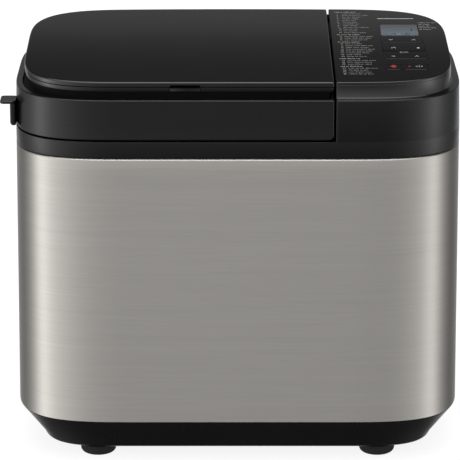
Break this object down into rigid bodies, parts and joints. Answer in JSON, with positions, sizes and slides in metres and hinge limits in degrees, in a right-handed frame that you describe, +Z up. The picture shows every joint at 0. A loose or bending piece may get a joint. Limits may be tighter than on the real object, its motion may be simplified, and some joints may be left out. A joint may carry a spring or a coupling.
{
  "type": "bread machine",
  "caption": "Countertop bread machine: steel-wrapped housing, hinged lid with its own dispenser lid, sloping control panel, baking pan with kneader, belt drive.",
  "frame": {"origin": "middle of the bottom of the whole machine's box, on the surface that the feet stand on", "axes": "+X to the right along the width, +Y from the front to the back, +Z up"},
  "size_m": [0.4078, 0.2566, 0.3629],
  "materials": {
    "black_shell": "fine satin texture",
    "gloss_panel": "satin gloss",
    "key_black": "satin",
    "brushed_wrap": "horizontal fine brush",
    "sheet_steel": "plain rolled",
    "bright_metal": "satin",
    "pan_coating": "non-stick coating, fine speckle",
    "inner_plastic": "plain moulded",
    "foot_rubber": "matt",
    "belt_rubber": "matt",
    "seal_silicone": "soft matt",
    "circuit_board": "solder mask",
    "display_glass": "clear polished window",
    "bearing_brass": "turned"
  },
  "bodies": {
    "chassis": {"base_tray": "black_shell", "foot_front_left": "foot_rubber", "foot_front_right": "foot_rubber", "foot_rear_left": "foot_rubber", "foot_rear_right": "foot_rubber", "steel_wrap": "brushed_wrap", "cord_inlet": "foot_rubber", "rear_grille": "black_shell", "top_frame": "black_shell", "panel_cover": "gloss_panel", "display_window": "display_glass", "display_module": "inner_plastic", "control_board": "circuit_board", "oven_liner": "bright_metal", "heater_element": "sheet_steel", "temperature_sensor": "sheet_steel", "pan_lock_ring": "bright_metal", "heat_shield": "bright_metal", "bearing_housing": "bright_metal", "motor_stator": "sheet_steel", "drive_belt": "belt_rubber", "drive_plate": "sheet_steel", "power_board": "circuit_board", "capacitor": "inner_plastic", "hinge_bracket_left": "black_shell", "hinge_pin_left": "sheet_steel", "hinge_bracket_right": "black_shell", "hinge_pin_right": "sheet_steel"},
    "lid": {"lid_frame": "black_shell", "lid_grip": "black_shell", "lid_underside": "black_shell", "lid_liner": "bright_metal", "lid_seal": "seal_silicone", "steam_vent": "inner_plastic", "nut_tray": "inner_plastic", "yeast_cup": "inner_plastic", "flap_solenoid": "inner_plastic", "dispenser_pin": "sheet_steel"},
    "dispenser_lid": {"dispenser_plate": "gloss_panel", "dispenser_carrier": "black_shell"},
    "catch": {"lid_catch": "black_shell"},
    "flap": {"nut_flap": "bright_metal"},
    "valve": {"yeast_valve": "bright_metal"},
    "plunger": {"solenoid_plunger": "sheet_steel"},
    "pan": {"bread_pan": "pan_coating", "pan_foot": "bright_metal", "shaft_bearing": "bearing_brass"},
    "handle": {"pan_handle": "sheet_steel"},
    "kneader": {"kneader_shaft": "sheet_steel", "kneader_blade": "pan_coating"},
    "drive": {"drive_shaft": "sheet_steel", "drive_pulley": "inner_plastic", "drive_coupling": "bright_metal"},
    "motor": {"motor_rotor": "sheet_steel", "motor_pulley": "bright_metal"},
    "menu": {"menu_key": "key_black"},
    "size": {"size_key": "key_black"},
    "timer": {"timer_key": "key_black"},
    "stop": {"stop_key": "key_black"},
    "start": {"start_key": "key_black"}
  },
  "joints": [
    {"name": "lid_hinge", "type": "hinge", "parent": "chassis", "child": "lid", "pos_m": [-0.05165, 0.11975, 0.303], "axis": [-1, 0, 0], "range_deg": [0, 95]},
    {"name": "dispenser_lid_hinge", "type": "hinge", "parent": "lid", "child": "dispenser_lid", "pos_m": [-0.05165, 0.11489, 0.35012], "axis": [-1, 0, 0], "range_deg": [0, 80]},
    {"name": "catch_slide", "type": "slide", "parent": "dispenser_lid", "child": "catch", "axis": [0, 0.9985, 0.0541], "range_m": [0, 0.0015], "stiffness_N_per_m": 500, "springref_m": -0.001},
    {"name": "nut_flap_hinge", "type": "hinge", "parent": "lid", "child": "flap", "pos_m": [-0.07665, -0.01075, 0.3046], "axis": [1, 0, 0], "range_deg": [0, 70], "stiffness_Nm_per_rad": 0.02, "springref_deg": -45.84},
    {"name": "yeast_valve_hinge", "type": "hinge", "parent": "lid", "child": "valve", "pos_m": [-0.01065, -0.01675, 0.3046], "axis": [1, 0, 0], "range_deg": [0, 60], "stiffness_Nm_per_rad": 0.006, "springref_deg": -45.84},
    {"name": "plunger_slide", "type": "slide", "parent": "lid", "child": "plunger", "axis": [1, 0, 0], "range_m": [0, 0.005], "stiffness_N_per_m": 200, "springref_m": -0.001},
    {"name": "pan_twist", "type": "hinge", "parent": "chassis", "child": "pan", "pos_m": [-0.05165, -0.00125, 0.09], "axis": [0, 0, 1], "range_deg": [0, 7]},
    {"name": "handle_swing", "type": "hinge", "parent": "pan", "child": "handle", "pos_m": [-0.05165, -0.00125, 0.233], "axis": [1, 0, 0], "range_deg": [0, 50]},
    {"name": "drive_spin", "type": "hinge", "parent": "chassis", "child": "drive", "pos_m": [-0.05165, -0.00125, 0.049], "axis": [0, 0, 1], "continuous": true},
    {"name": "kneader_spin", "type": "hinge", "parent": "chassis", "child": "kneader", "pos_m": [-0.05165, -0.00125, 0.1], "axis": [0, 0, 1], "continuous": true},
    {"name": "motor_spin", "type": "hinge", "parent": "chassis", "child": "motor", "pos_m": [0.11735, -0.01325, 0.049], "axis": [0, 0, 1], "continuous": true},
    {"name": "menu_rocker", "type": "hinge", "parent": "chassis", "child": "menu", "pos_m": [0.15335, 0.01297, 0.35511], "axis": [0, 0.9985, 0.0541], "range_deg": [-2.5, 2.5], "stiffness_Nm_per_rad": 0.4},
    {"name": "size_rocker", "type": "hinge", "parent": "chassis", "child": "size", "pos_m": [0.15385, -0.013, 0.35371], "axis": [0, 0.9985, 0.0541], "range_deg": [-2.5, 2.5], "stiffness_Nm_per_rad": 0.4},
    {"name": "timer_rocker", "type": "hinge", "parent": "chassis", "child": "timer", "pos_m": [0.15415, -0.03946, 0.35228], "axis": [0, 0.9985, 0.0541], "range_deg": [-2.5, 2.5], "stiffness_Nm_per_rad": 0.4},
    {"name": "stop_press", "type": "slide", "parent": "chassis", "child": "stop", "axis": [0, 0.0541, -0.9985], "range_m": [0, 0.0008], "stiffness_N_per_m": 900, "springref_m": -0.0002},
    {"name": "start_press", "type": "slide", "parent": "chassis", "child": "start", "axis": [0, 0.0541, -0.9985], "range_m": [0, 0.0008], "stiffness_N_per_m": 900, "springref_m": -0.0002}
  ],
  "couplings": [
    {"joint": "kneader_spin", "follows": "drive_spin", "ratio": 1},
    {"joint": "motor_spin", "follows": "drive_spin", "ratio": 4.3636}
  ]
}
